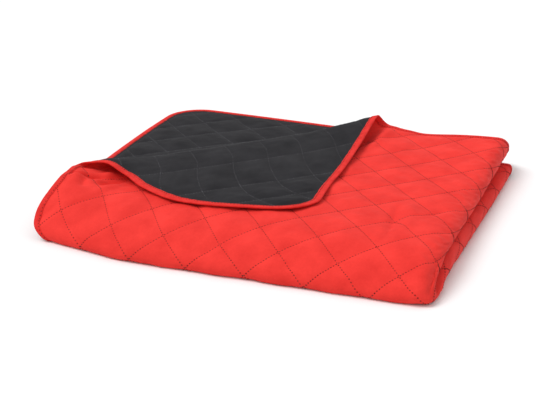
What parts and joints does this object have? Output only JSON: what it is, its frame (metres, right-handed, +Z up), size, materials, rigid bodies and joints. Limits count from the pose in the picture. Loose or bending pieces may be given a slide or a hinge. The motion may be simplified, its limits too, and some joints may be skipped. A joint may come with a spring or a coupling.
{
  "type": "quilted bedspread",
  "caption": "Quilted bedspread folded in quarters with one top corner turned back, red face, black reverse and red bound edge.",
  "frame": {"origin": "on the surface the bedspread lies on, under the middle of its bounding box", "axes": "+X to the right along the folded stack's long side, towards the first fold; +Y away from the second fold, towards the loose far edges; +Z up"},
  "size_m": [1.0868, 1.0016, 0.1327],
  "materials": {
    "face_panel": "red brushed polyester microfibre, matt with a faint sheen",
    "reverse_panel": "black brushed polyester microfibre, matt",
    "binding": "red woven polyester tape, matt"
  },
  "bodies": {
    "root": {"face_panel": "face_panel", "reverse_panel": "reverse_panel", "binding": "binding"}
  },
  "joints": []
}
